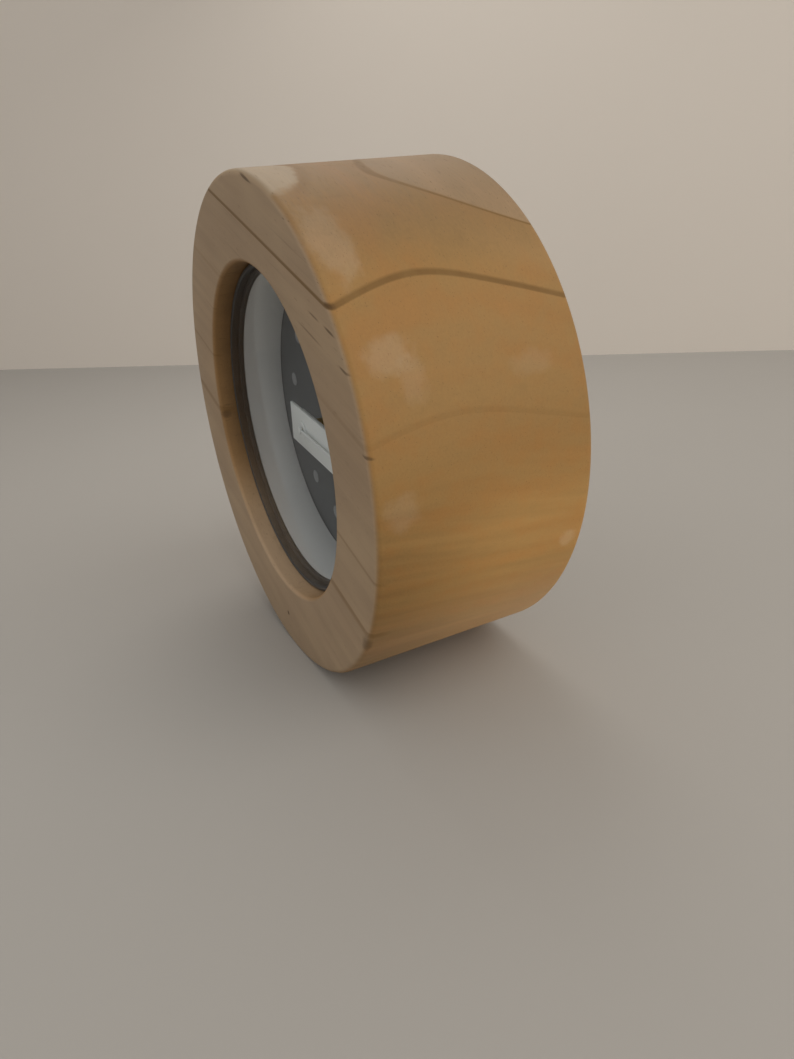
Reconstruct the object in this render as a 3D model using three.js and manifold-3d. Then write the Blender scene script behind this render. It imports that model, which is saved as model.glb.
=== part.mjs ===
// A round wooden desk clock: a turned ring of solid wood that stands on a small flat, with a quartz
// clock insert pushed into its bore. Millimetres, +Z up, the dial looks towards -Y, and the origin is
// the middle of the base flat. Inside the clock, y is the depth behind the wooden face, and x and z
// are measured from the clock's axis, as seen from the front.

import * as THREE from 'three';
import { mergeVertices } from 'three/addons/utils/BufferGeometryUtils.js';
import Module from 'manifold-3d';

// Wooden ring
const RING_DIAMETER = 100;
const RING_DEPTH = 42.7;
const BORE_DIAMETER = 68;
const BASE_FLAT_WIDTH = 14;
const FRONT_EDGE_RADIUS = 1.2;
const BACK_EDGE_RADIUS = 1.5;
const BORE_EDGE_RADIUS = 0.9;

// Fits
const SLIDE_FIT = 0.3; // radial play of parts that are pushed together
const SEAT_GAP = 0.1; // between stacked faces
const RUN_GAP = 0.4; // between wheels that pass each other
const BEARING_GAP = 0.1; // radial play of a turning arbor or pipe

// Front of the insert: lens, bezel, ring wall and dial
const LENS_SETBACK = 3.9; // how far the lens lies behind the wooden face
const LENS_THICKNESS = 1.6;
const BEZEL_WALL = 0.8;
const BEZEL_LEDGE_WIDTH = 0.9;
const BEZEL_LEDGE_THICKNESS = 0.9;
const BEZEL_OVERLAP = 1.3; // how far the bezel reaches over the case
const DIAL_RING_HEIGHT = 8.8;
const DIAL_RING_FOOT = 0.6; // how much the ring wall leans in towards the dial
const DIAL_THICKNESS = 0.8;

// Case, rubber band and back cover
const CASE_WALL = 1.4;
const BAND_WIDTH = 7;
const COVER_THICKNESS = 1.6;
const COVER_ROOM = 1.1; // between the movement and the cover

// Hands, set soon after quarter past three, where the minute hand lies over the hour hand
const HAND_SPACING = 0.4; // clear height between one hand and the next
const HOUR_HAND = { width: 6.4, length: 18.5, tail: 3.4, thickness: 0.8 };
const MINUTE_HAND = { width: 8.4, length: 27, tail: 6.3, thickness: 0.6 };
const SECOND_HAND = { width: 0.6, length: 26, tail: 1.0, thickness: 0.4 };
const HOUR_HAND_HEIGHT = 5.7; // above the dial
const SHOWN_HOUR = 3;
const SHOWN_MINUTE = 180 / 11;
const SHOWN_SECOND = SHOWN_MINUTE;

// Movement
const PLATE_THICKNESS = 1.6;
const BRIDGE_THICKNESS = 1.2;
const WHEEL_THICKNESS = 0.8;
const ARBOR_RADIUS = 0.7;
const PIVOT_RADIUS = 0.45;
const PIPE_WALL = 0.5;
const PILLAR_RADIUS = 2.6;
const PILLAR_STUB_RADIUS = 2;
const PILLAR_DIRECTIONS = [75, -45, 215];
const MOTION_MODULE = 0.3; // teeth of the wheels under the dial
const CANNON_TEETH = 10;
const MINUTE_WHEEL_TEETH = 30;
const MINUTE_PINION_TEETH = 8;
const HOUR_WHEEL_TEETH = 32;
const SETTING_TEETH = 10;
const LEAF_COUNT = 6; // teeth of each pinion in the running train
const CENTRE_TEETH = 48;
const THIRD_TEETH = 45;
const SECONDS_TEETH = 30;
const INTERMEDIATE_TEETH = 36;
const THIRD_DIRECTION = 30;
const INTERMEDIATE_DISTANCE = 9;
const INTERMEDIATE_DIRECTION = 115;
const ROTOR_DISTANCE = 7; // from the intermediate wheel
const ROTOR_DIRECTION = 150;
const CLUTCH_THICKNESS = 0.2;
const CLUTCH_RADIUS = 2.6;

// Motor, board and battery
const MAGNET_RADIUS = 2.6;
const MAGNET_LENGTH = 1.9;
const STATOR_THICKNESS = 0.7;
const STATOR_STANDOFF = 2; // behind the movement plate
const STATOR_WEB = 1.9; // iron left round the magnet
const CORE_WIDTH = 1.5;
const CORE_THICKNESS = 1;
const CORE_LENGTH = 16.4;
const COIL_RADIUS = 1.9;
const COIL_LENGTH = 10.6;
const MOTOR_DIRECTION = 130;
const BOARD_SIZE = 8;
const BOARD_THICKNESS = 1;
const BOARD_STANDOFF = 1.8;
const BOARD_DIRECTION = -20;
const POST_RADIUS = 1;
const CHIP_SIZE = 3;
const CHIP_HEIGHT = 1;
const CRYSTAL_RADIUS = 1;
const CRYSTAL_LENGTH = 6;
const CELL_RADIUS = 5.8;
const CELL_HEIGHT = 5.4;
const CONTACT_THICKNESS = 0.3;
const CONTACT_WIDTH = 3;
const WELL_WALL = 0.9;

// What is reached from the back: knob, hatch and screws
const SETTING_SHAFT_RADIUS = 1.2;
const KNOB_RADIUS = 4.5;
const KNOB_HEIGHT = 3.6;
const KNOB_FLUTES = 18;
const KNOB_FLUTE_DEPTH = 0.35;
const HATCH_RADIUS = 7;
const HATCH_BOSS_RADIUS = 4;
const HATCH_SLOT_WIDTH = 1.6;
const HATCH_SLOT_DEPTH = 0.7;
const LUG_REACH = 1.3;
const LUG_WIDTH = 2.4;
const LUG_THICKNESS = 0.7;
const HATCH_TURN = 45;
const SCREW_SHANK_RADIUS = 0.85;
const SCREW_HEAD_RADIUS = 1.7;
const SCREW_HEAD_HEIGHT = 0.9;
const SCREW_LENGTH = 4.5;

// Facets of round shapes
const RING_SEGMENTS = 64;
const SMALL_SEGMENTS = 20;
const PIVOT_SEGMENTS = 12;

// Radii that follow from the bore
const ringRadius = RING_DIAMETER / 2;
const boreRadius = BORE_DIAMETER / 2;
const axisHeight = Math.sqrt(ringRadius ** 2 - (BASE_FLAT_WIDTH / 2) ** 2);
const bezelRadius = boreRadius - SLIDE_FIT;
const skirtRadius = bezelRadius - BEZEL_WALL;
const ledgeRadius = skirtRadius - BEZEL_LEDGE_WIDTH;
const insertRadius = skirtRadius - SLIDE_FIT;
const caseInnerRadius = insertRadius - CASE_WALL;
const plateRadius = caseInnerRadius - SLIDE_FIT;

// Depths of the stacked pieces, front to back
const lensBack = LENS_SETBACK + LENS_THICKNESS;
const ledgeFront = lensBack + SEAT_GAP;
const ledgeBack = ledgeFront + BEZEL_LEDGE_THICKNESS;
const dialRingFront = ledgeBack + SEAT_GAP;
const dialRingBack = dialRingFront + DIAL_RING_HEIGHT;
const dialFront = dialRingBack + SEAT_GAP;
const dialBack = dialFront + DIAL_THICKNESS;
const caseFront = dialBack + SEAT_GAP;
const bezelBack = caseFront + BEZEL_OVERLAP;
const plateFront = dialBack + SLIDE_FIT;
const plateBack = plateFront + PLATE_THICKNESS;
const hourLevel = plateBack + RUN_GAP;
const motionLevel = hourLevel + WHEEL_THICKNESS + RUN_GAP;
const clutchFront = motionLevel + WHEEL_THICKNESS + SEAT_GAP;
const centreLevel = clutchFront + CLUTCH_THICKNESS + SEAT_GAP;
const thirdLevel = centreLevel + WHEEL_THICKNESS + RUN_GAP;
const secondsLevel = thirdLevel + WHEEL_THICKNESS + RUN_GAP;
const intermediateLevel = secondsLevel + WHEEL_THICKNESS + RUN_GAP;
const bridgeFront = intermediateLevel + WHEEL_THICKNESS + RUN_GAP;
const bridgeBack = bridgeFront + BRIDGE_THICKNESS;
const coverFront = bridgeBack + COVER_ROOM;
const coverBack = coverFront + COVER_THICKNESS;
const caseBack = coverFront - SEAT_GAP;

// Gear teeth: heights in modules, half widths as shares of the tooth pitch
const ADDENDUM = 0.7;
const DEDENDUM = 1.05;
const ROOT_HALF_WIDTH = 0.26;
const TIP_HALF_WIDTH = 0.12;

const wasm = await Module();
wasm.setup();

const clock = new THREE.Group();
clock.position.set(0, -RING_DEPTH / 2, axisHeight);

const radians = THREE.MathUtils.degToRad;

function polar(distance, degrees, from = { x: 0, z: 0 }) {
  const angle = radians(degrees);
  return { x: from.x + distance * Math.cos(angle), z: from.z + distance * Math.sin(angle) };
}

// A closed geometry as a solid that can be joined and cut
function solid(geometry) {
  const bare = geometry.clone();
  bare.deleteAttribute('normal');
  bare.deleteAttribute('uv');
  const merged = mergeVertices(bare, 1e-4);
  const corners = merged.index.array;
  const triangles = [];
  for (let i = 0; i < corners.length; i += 3) {
    const [a, b, c] = [corners[i], corners[i + 1], corners[i + 2]];
    if (a !== b && b !== c && c !== a) triangles.push(a, b, c);
  }
  return new wasm.Manifold(new wasm.Mesh({
    numProp: 3,
    vertProperties: new Float32Array(merged.attributes.position.array),
    triVerts: new Uint32Array(triangles),
  }));
}

function add(name, body, material) {
  const { vertProperties, triVerts } = body.getMesh();
  const geometry = new THREE.BufferGeometry();
  geometry.setAttribute('position', new THREE.BufferAttribute(vertProperties, 3));
  geometry.setIndex(new THREE.BufferAttribute(triVerts, 1));
  geometry.computeVertexNormals();
  const mesh = new THREE.Mesh(geometry, material);
  mesh.name = name;
  clock.add(mesh);
}

// A round rod along the clock's axis
function rod(radius, front, back, at = { x: 0, z: 0 }, segments = SMALL_SEGMENTS) {
  const shape = new THREE.CylinderGeometry(radius, radius, back - front, segments);
  shape.translate(at.x, (front + back) / 2, at.z);
  return solid(shape);
}

// A body turned about the clock's axis from a closed outline of (radius, depth) points
function turned(outline, segments = RING_SEGMENTS) {
  const points = outline.map(([radius, depth]) => new THREE.Vector2(radius, depth));
  return solid(new THREE.LatheGeometry([...points, points[0].clone()], segments));
}

function tube(inner, outer, front, back, segments = SMALL_SEGMENTS) {
  return turned([[inner, front], [outer, front], [outer, back], [inner, back]], segments);
}

// A flat piece cut from sheet: the outline lies in x and z, the thickness goes back from front
function sheet(outline, front, thickness, at = { x: 0, z: 0 }, turn = 0) {
  const shape = new THREE.ExtrudeGeometry(outline, { depth: thickness, bevelEnabled: false, steps: 1 });
  shape.rotateX(Math.PI / 2);
  shape.rotateY(-turn);
  shape.translate(at.x, front + thickness, at.z);
  return solid(shape);
}

function block(width, depth, height, centre, turn = 0) {
  const shape = new THREE.BoxGeometry(width, depth, height);
  shape.rotateY(-turn);
  shape.translate(centre.x, centre.y, centre.z);
  return solid(shape);
}

function join(...bodies) {
  return bodies.reduce((whole, body) => whole.add(body));
}

function cut(body, ...tools) {
  return tools.reduce((rest, tool) => rest.subtract(tool), body);
}

function paint(color, roughness, metalness = 0) {
  return new THREE.MeshStandardMaterial({ color, roughness, metalness });
}

const wood = paint(0xb5926a, 0.6);
const blackPlastic = paint(0x1d1b1a, 0.45);
const clearPlastic = paint(0xdfe4e4, 0.05);
const greyPlastic = paint(0xa8a6a4, 0.6);
const dialPaint = paint(0x3a3a3a, 0.55);
const handPaint = paint(0xe6e6e2, 0.45);
const rubber = paint(0x262525, 0.85);
const movementPlastic = paint(0xd9d6cc, 0.5);
const brass = paint(0xb9964e, 0.35, 0.9);
const steel = paint(0xa9abad, 0.3, 1);
const copper = paint(0xa0592f, 0.4, 0.8);
const boardGreen = paint(0x2f5a3c, 0.5);

// Wooden ring with eased edges, cut flat where it stands
function corner(radius, centreRadius, centreDepth, fromDegrees) {
  const steps = 3;
  return Array.from({ length: steps + 1 }, (_, i) => {
    const angle = radians(fromDegrees + (90 * i) / steps);
    return [centreRadius + radius * Math.cos(angle), centreDepth + radius * Math.sin(angle)];
  });
}

const ringOutline = [
  ...corner(FRONT_EDGE_RADIUS, ringRadius - FRONT_EDGE_RADIUS, FRONT_EDGE_RADIUS, -90),
  ...corner(BACK_EDGE_RADIUS, ringRadius - BACK_EDGE_RADIUS, RING_DEPTH - BACK_EDGE_RADIUS, 0),
  ...corner(BORE_EDGE_RADIUS, boreRadius + BORE_EDGE_RADIUS, RING_DEPTH - BORE_EDGE_RADIUS, 90),
  ...corner(BORE_EDGE_RADIUS, boreRadius + BORE_EDGE_RADIUS, BORE_EDGE_RADIUS, 180),
];
const underBase = block(RING_DIAMETER, 2 * RING_DEPTH, ringRadius,
  { x: 0, y: RING_DEPTH / 2, z: -axisHeight - ringRadius / 2 });
add('wooden_body', cut(turned(ringOutline), underBase), wood);

// Bezel: a black ring whose ledge holds the lens in front and the ring wall behind
add('bezel', turned([
  [bezelRadius, LENS_SETBACK], [bezelRadius, bezelBack], [skirtRadius, bezelBack],
  [skirtRadius, ledgeBack], [ledgeRadius, ledgeBack], [ledgeRadius, ledgeFront],
  [skirtRadius, ledgeFront], [skirtRadius, LENS_SETBACK],
]), blackPlastic);
add('lens', rod(insertRadius, LENS_SETBACK, lensBack, undefined, RING_SEGMENTS), clearPlastic);
add('dial_ring', turned([
  [ledgeRadius, dialRingFront], [insertRadius, dialRingFront],
  [insertRadius, dialRingBack], [ledgeRadius - DIAL_RING_FOOT, dialRingBack],
]), greyPlastic);

// Pipes on the clock's axis, each turning inside the next
const cannonBore = PIVOT_RADIUS + BEARING_GAP;
const cannonRadius = cannonBore + PIPE_WALL;
const hourPipeBore = cannonRadius + BEARING_GAP;
const hourPipeRadius = hourPipeBore + PIPE_WALL;
const plateBore = hourPipeRadius + BEARING_GAP;
const dialBore = hourPipeRadius + SLIDE_FIT;
add('dial', tube(dialBore, insertRadius, dialFront, dialBack, RING_SEGMENTS), dialPaint);

// Hands: flat bars with square ends, stacked in front of the dial
const hourHandBack = dialFront - HOUR_HAND_HEIGHT;
const hourHandFront = hourHandBack - HOUR_HAND.thickness;
const minuteHandBack = hourHandFront - HAND_SPACING;
const minuteHandFront = minuteHandBack - MINUTE_HAND.thickness;
const secondHandBack = minuteHandFront - HAND_SPACING;
const secondHandFront = secondHandBack - SECOND_HAND.thickness;
const pipeStub = HAND_SPACING / 3; // how far each pipe stands past its hand
const secondAngle = 6 * SHOWN_SECOND;
const minuteAngle = 6 * SHOWN_MINUTE;
const hourAngle = 30 * SHOWN_HOUR + SHOWN_MINUTE / 2;

function roundHole(radius, segments = SMALL_SEGMENTS) {
  const points = new THREE.Path().absarc(0, 0, radius, 0, 2 * Math.PI, true).getSpacedPoints(segments);
  return new THREE.Path(points.slice(0, -1));
}

function addHand(name, { width, length, tail, thickness }, front, pipeRadius, clockDegrees) {
  const half = width / 2;
  const outline = new THREE.Shape([
    new THREE.Vector2(-half, -tail), new THREE.Vector2(half, -tail),
    new THREE.Vector2(half, length), new THREE.Vector2(-half, length),
  ]);
  const bar = sheet(outline, front, thickness, undefined, radians(-clockDegrees));
  const hub = rod(pipeRadius + PIPE_WALL + BEARING_GAP, front, front + thickness);
  const hole = rod(pipeRadius + BEARING_GAP, front - thickness, front + 2 * thickness);
  add(name, cut(join(bar, hub), hole), handPaint);
}

addHand('hour_hand', HOUR_HAND, hourHandFront, hourPipeRadius, hourAngle);
addHand('minute_hand', MINUTE_HAND, minuteHandFront, cannonRadius, minuteAngle);
addHand('second_hand', SECOND_HAND, secondHandFront, PIVOT_RADIUS, secondAngle);

// Case with the rubber band that grips the wooden bore
add('insert_case', tube(caseInnerRadius, insertRadius, caseFront, caseBack, RING_SEGMENTS), blackPlastic);
const bandMiddle = (bezelBack + caseBack) / 2;
add('retaining_band', tube(insertRadius + SEAT_GAP, bezelRadius,
  bandMiddle - BAND_WIDTH / 2, bandMiddle + BAND_WIDTH / 2, RING_SEGMENTS), rubber);

// Gear trains: one size of tooth under the dial, and one for each pair in the running train
function tipRadius(teeth, module) {
  return module * (teeth / 2 + ADDENDUM);
}

function gear(teeth, module, front, thickness, at, toothDegrees) {
  const pitch = (2 * Math.PI) / teeth;
  const root = module * (teeth / 2 - DEDENDUM);
  const tip = tipRadius(teeth, module);
  const profile = [
    [root, -ROOT_HALF_WIDTH], [tip, -TIP_HALF_WIDTH], [tip, TIP_HALF_WIDTH], [root, ROOT_HALF_WIDTH],
  ];
  const points = [];
  for (let tooth = 0; tooth < teeth; tooth += 1) {
    for (const [radius, share] of profile) {
      const angle = radians(toothDegrees) + pitch * (tooth + share);
      points.push(new THREE.Vector2(radius * Math.cos(angle), radius * Math.sin(angle)));
    }
  }
  return sheet(new THREE.Shape(points), front, thickness, at);
}

// Turn from a tooth to the gap beside it
const halfPitch = (teeth) => 180 / teeth;

const centre = { x: 0, z: 0 };
const motionDistance = (MOTION_MODULE * (CANNON_TEETH + MINUTE_WHEEL_TEETH)) / 2;
const hourModule = (2 * motionDistance) / (MINUTE_PINION_TEETH + HOUR_WHEEL_TEETH);
const settingDistance = (MOTION_MODULE * (MINUTE_WHEEL_TEETH + SETTING_TEETH)) / 2;
const minutePost = polar(motionDistance, 180);
const settingShaft = polar(settingDistance, 180, minutePost);
const intermediateModule = (2 * INTERMEDIATE_DISTANCE) / (SECONDS_TEETH + LEAF_COUNT);
const secondsTip = tipRadius(SECONDS_TEETH, intermediateModule);
const thirdDistance = secondsTip + ARBOR_RADIUS + RUN_GAP;
const centreModule = (2 * thirdDistance) / (CENTRE_TEETH + LEAF_COUNT);
const thirdModule = (2 * thirdDistance) / (THIRD_TEETH + LEAF_COUNT);
const rotorModule = (2 * ROTOR_DISTANCE) / (INTERMEDIATE_TEETH + LEAF_COUNT);
const third = polar(thirdDistance, THIRD_DIRECTION);
const intermediate = polar(INTERMEDIATE_DISTANCE, INTERMEDIATE_DIRECTION);
const rotor = polar(ROTOR_DISTANCE, ROTOR_DIRECTION, intermediate);
const wheelSpaces = [
  { at: centre, radius: Math.max(secondsTip, tipRadius(CENTRE_TEETH, centreModule)) },
  { at: third, radius: tipRadius(THIRD_TEETH, thirdModule) },
  { at: intermediate, radius: tipRadius(INTERMEDIATE_TEETH, rotorModule) },
  { at: minutePost, radius: tipRadius(MINUTE_WHEEL_TEETH, MOTION_MODULE) },
];

// The nearest place in one direction where a round thing stands clear of every wheel
function standClear(radius, degrees) {
  const way = polar(1, degrees);
  const reaches = wheelSpaces.map((wheel) => {
    const along = way.x * wheel.at.x + way.z * wheel.at.z;
    const aside = wheel.at.x ** 2 + wheel.at.z ** 2 - along ** 2;
    const apart = (wheel.radius + radius + RUN_GAP) ** 2;
    return apart > aside ? along + Math.sqrt(apart - aside) : 0;
  });
  return polar(Math.max(...reaches), degrees);
}

// A pinion is a little longer than the wheel that it drives
const pinionFront = (level) => level - RUN_GAP / 3;
const pinionLength = WHEEL_THICKNESS + (2 * RUN_GAP) / 3;
const arborFront = plateBack + RUN_GAP / 2;
const arborBack = bridgeFront - RUN_GAP / 2;
const pivotFront = plateFront + SEAT_GAP;
const pivotBack = bridgeBack - SEAT_GAP;

function arbor(at) {
  return join(
    rod(ARBOR_RADIUS, arborFront, arborBack, at, PIVOT_SEGMENTS),
    rod(PIVOT_RADIUS, pivotFront, pivotBack, at, PIVOT_SEGMENTS),
  );
}

// Motion work: cannon pinion, minute wheel and hour wheel turn the hour hand once in twelve hours
const cannonBack = thirdLevel - RUN_GAP / 2;
const cannonFront = minuteHandFront - pipeStub;
add('cannon_pinion', cut(
  join(
    rod(cannonRadius, cannonFront, cannonBack),
    gear(CANNON_TEETH, MOTION_MODULE, motionLevel, WHEEL_THICKNESS, centre, 180),
  ),
  rod(cannonBore, cannonFront - RUN_GAP, cannonBack + RUN_GAP),
), brass);
const hourPipeFront = hourHandFront - pipeStub;
const hourWheelBack = hourLevel + WHEEL_THICKNESS;
add('hour_wheel', cut(
  join(
    rod(hourPipeRadius, hourPipeFront, hourWheelBack),
    gear(HOUR_WHEEL_TEETH, hourModule, hourLevel, WHEEL_THICKNESS, centre,
      180 + halfPitch(HOUR_WHEEL_TEETH)),
  ),
  rod(hourPipeBore, hourPipeFront - RUN_GAP, hourWheelBack + RUN_GAP),
), brass);
const minuteWheelBack = motionLevel + WHEEL_THICKNESS;
add('minute_wheel', cut(
  join(
    gear(MINUTE_WHEEL_TEETH, MOTION_MODULE, motionLevel, WHEEL_THICKNESS, minutePost,
      halfPitch(MINUTE_WHEEL_TEETH)),
    gear(MINUTE_PINION_TEETH, hourModule, hourLevel, motionLevel - hourLevel + SEAT_GAP, minutePost, 0),
  ),
  rod(PIVOT_RADIUS + BEARING_GAP, hourLevel - RUN_GAP, minuteWheelBack + RUN_GAP, minutePost),
), brass);

// Running train: the rotor's half turns come down to one turn a minute and one an hour
add('centre_wheel', cut(
  gear(CENTRE_TEETH, centreModule, centreLevel, WHEEL_THICKNESS, centre,
    THIRD_DIRECTION + halfPitch(CENTRE_TEETH)),
  rod(cannonRadius + BEARING_GAP, centreLevel - RUN_GAP, thirdLevel),
), brass);
add('clutch_spring', tube(cannonRadius + BEARING_GAP, CLUTCH_RADIUS,
  clutchFront, clutchFront + CLUTCH_THICKNESS), steel);
add('third_wheel', join(
  arbor(third),
  gear(THIRD_TEETH, thirdModule, thirdLevel, WHEEL_THICKNESS, third,
    THIRD_DIRECTION + 180 + halfPitch(THIRD_TEETH)),
  gear(LEAF_COUNT, centreModule, pinionFront(centreLevel), pinionLength, third, THIRD_DIRECTION + 180),
), brass);
add('seconds_wheel', join(
  rod(PIVOT_RADIUS, secondHandFront - pipeStub, pivotBack, centre, PIVOT_SEGMENTS),
  rod(ARBOR_RADIUS, secondsLevel, arborBack, centre, PIVOT_SEGMENTS),
  gear(SECONDS_TEETH, intermediateModule, secondsLevel, WHEEL_THICKNESS, centre,
    INTERMEDIATE_DIRECTION + halfPitch(SECONDS_TEETH)),
  gear(LEAF_COUNT, thirdModule, pinionFront(thirdLevel), secondsLevel - pinionFront(thirdLevel),
    centre, THIRD_DIRECTION),
), brass);
add('intermediate_wheel', join(
  arbor(intermediate),
  gear(INTERMEDIATE_TEETH, rotorModule, intermediateLevel, WHEEL_THICKNESS, intermediate,
    ROTOR_DIRECTION + halfPitch(INTERMEDIATE_TEETH)),
  gear(LEAF_COUNT, intermediateModule, pinionFront(secondsLevel), pinionLength, intermediate,
    INTERMEDIATE_DIRECTION + 180),
), movementPlastic);
const statorFront = plateBack + STATOR_STANDOFF;
const magnetMiddle = statorFront + STATOR_THICKNESS / 2;
add('rotor', join(
  arbor(rotor),
  rod(MAGNET_RADIUS, magnetMiddle - MAGNET_LENGTH / 2, magnetMiddle + MAGNET_LENGTH / 2, rotor),
  gear(LEAF_COUNT, rotorModule, pinionFront(intermediateLevel), pinionLength, rotor, ROTOR_DIRECTION + 180),
), steel);

// Motor: an iron stator round the rotor, closed by the core that carries the coil
const statorHole = MAGNET_RADIUS + SLIDE_FIT;
const statorReach = statorHole + STATOR_WEB;
const coreNear = statorReach + SLIDE_FIT + COIL_RADIUS - CORE_WIDTH / 2;
const coreMiddle = coreNear + CORE_WIDTH / 2;
const coreFar = coreNear + CORE_WIDTH;
const coreHalf = CORE_LENGTH / 2;
const armInner = COIL_LENGTH / 2 + SLIDE_FIT;
const statorBack = statorFront + STATOR_THICKNESS;
const coreFront = statorBack + SEAT_GAP;
const statorOutline = new THREE.Shape([
  new THREE.Vector2(-statorReach, -statorHole), new THREE.Vector2(-statorHole, -statorReach),
  new THREE.Vector2(0, -armInner), new THREE.Vector2(coreNear, -coreHalf),
  new THREE.Vector2(coreFar, -coreHalf), new THREE.Vector2(coreFar, -armInner),
  new THREE.Vector2(statorReach, -armInner), new THREE.Vector2(statorReach, armInner),
  new THREE.Vector2(coreFar, armInner), new THREE.Vector2(coreFar, coreHalf),
  new THREE.Vector2(coreNear, coreHalf), new THREE.Vector2(0, armInner),
  new THREE.Vector2(-statorHole, statorReach), new THREE.Vector2(-statorReach, statorHole),
]);
statorOutline.holes.push(roundHole(statorHole));
const motorTurn = radians(MOTOR_DIRECTION);
add('stator', sheet(statorOutline, statorFront, STATOR_THICKNESS, rotor, motorTurn), steel);

const coilPlace = polar(coreMiddle, MOTOR_DIRECTION, rotor);
const coreDepth = coreFront + CORE_THICKNESS / 2;
add('coil_core', block(CORE_WIDTH, CORE_THICKNESS, CORE_LENGTH,
  { x: coilPlace.x, y: coreDepth, z: coilPlace.z }, motorTurn), steel);
const windingBore = Math.hypot(CORE_WIDTH, CORE_THICKNESS) / 2 + BEARING_GAP;
const winding = new THREE.LatheGeometry([
  [windingBore, -COIL_LENGTH / 2], [COIL_RADIUS, -COIL_LENGTH / 2],
  [COIL_RADIUS, COIL_LENGTH / 2], [windingBore, COIL_LENGTH / 2], [windingBore, -COIL_LENGTH / 2],
].map(([radius, along]) => new THREE.Vector2(radius, along)), SMALL_SEGMENTS);
winding.rotateX(Math.PI / 2);
winding.rotateY(-motorTurn);
winding.translate(coilPlace.x, coreDepth, coilPlace.z);
add('coil_winding', solid(winding), copper);

// Board with the driver chip and the quartz crystal
const board = standClear(BOARD_SIZE / Math.SQRT2, BOARD_DIRECTION);
const boardFront = plateBack + BOARD_STANDOFF;
const boardBack = boardFront + BOARD_THICKNESS;
const onBoard = boardBack + SEAT_GAP;
add('circuit_board', block(BOARD_SIZE, BOARD_THICKNESS, BOARD_SIZE,
  { x: board.x, y: boardFront + BOARD_THICKNESS / 2, z: board.z }), boardGreen);
add('driver_chip', block(CHIP_SIZE, CHIP_HEIGHT, CHIP_SIZE,
  { x: board.x - BOARD_SIZE / 4, y: onBoard + CHIP_HEIGHT / 2, z: board.z }), blackPlastic);
const crystal = new THREE.CylinderGeometry(CRYSTAL_RADIUS, CRYSTAL_RADIUS, CRYSTAL_LENGTH, PIVOT_SEGMENTS);
crystal.rotateX(Math.PI / 2);
crystal.translate(board.x + BOARD_SIZE / 4, onBoard + CRYSTAL_RADIUS, board.z);
add('quartz_crystal', solid(crystal), steel);

// Button cell in its well, with a contact under it and one at its side
const wellInner = CELL_RADIUS + 2 * SLIDE_FIT + CONTACT_THICKNESS;
const wellOuter = wellInner + WELL_WALL;
const cell = standClear(wellOuter, -90);
const minusFront = plateBack + SEAT_GAP;
const cellFront = minusFront + CONTACT_THICKNESS + SEAT_GAP;
const cellBack = cellFront + CELL_HEIGHT;
add('battery_cell', rod(CELL_RADIUS, cellFront, cellBack, cell, RING_SEGMENTS / 2), steel);
add('battery_contact_minus', block(2 * CELL_RADIUS, CONTACT_THICKNESS, CONTACT_WIDTH,
  { x: cell.x, y: minusFront + CONTACT_THICKNESS / 2, z: cell.z }), brass);
const plusRadius = CELL_RADIUS + SLIDE_FIT;
const plusSpan = Math.PI / 3;
const plusOutline = new THREE.Shape();
plusOutline.absarc(0, 0, plusRadius + CONTACT_THICKNESS, 0, plusSpan, false);
plusOutline.absarc(0, 0, plusRadius, plusSpan, 0, true);
add('battery_contact_plus', sheet(plusOutline, cellFront, CELL_HEIGHT, cell), brass);

// Movement plate: carries the posts, pillars and battery well
const pillars = PILLAR_DIRECTIONS.map((degrees) => standClear(PILLAR_RADIUS, degrees));
const pillarBack = bridgeFront - SEAT_GAP;
const stubBack = coverFront - SEAT_GAP;
const screwHole = SCREW_SHANK_RADIUS + BEARING_GAP;
const headFront = coverBack - SCREW_HEAD_HEIGHT;
const screwTip = headFront - SCREW_LENGTH;
const motorPosts = [-1, 1].map((side) => {
  const away = polar((coreHalf + armInner) / 2, MOTOR_DIRECTION + side * 90);
  return { x: coilPlace.x + away.x, z: coilPlace.z + away.z };
});
const boardPosts = [-1, 1].map((side) => {
  const inset = side * (BOARD_SIZE / 2 - POST_RADIUS);
  return { x: board.x + inset, z: board.z + inset };
});
const postRoot = plateFront + PLATE_THICKNESS / 2;
const wellBack = cellBack + SEAT_GAP;
const movementPlate = join(
  rod(plateRadius, plateFront, plateBack, centre, RING_SEGMENTS),
  rod(PIVOT_RADIUS, postRoot, minuteWheelBack, minutePost, PIVOT_SEGMENTS),
  rod(wellOuter, postRoot, wellBack, cell, RING_SEGMENTS / 2),
  ...pillars.map((at) => rod(PILLAR_RADIUS, postRoot, pillarBack, at)),
  ...pillars.map((at) => rod(PILLAR_STUB_RADIUS, postRoot, stubBack, at)),
  ...motorPosts.map((at) => rod(POST_RADIUS, postRoot, statorFront - SEAT_GAP, at)),
  ...boardPosts.map((at) => rod(POST_RADIUS, postRoot, boardFront - SEAT_GAP, at)),
);
add('movement_plate', cut(
  movementPlate,
  rod(plateBore, plateFront - RUN_GAP, plateBack + RUN_GAP),
  rod(wellInner, plateBack, wellBack + RUN_GAP, cell, RING_SEGMENTS / 2),
  rod(SETTING_SHAFT_RADIUS + BEARING_GAP, plateFront - RUN_GAP, plateBack + RUN_GAP, settingShaft),
  ...[third, intermediate, rotor].map((at) => (
    rod(PIVOT_RADIUS + BEARING_GAP, plateFront - RUN_GAP, plateBack + RUN_GAP, at))),
  ...pillars.map((at) => rod(screwHole, screwTip - SLIDE_FIT, stubBack + RUN_GAP, at)),
), movementPlastic);

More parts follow.
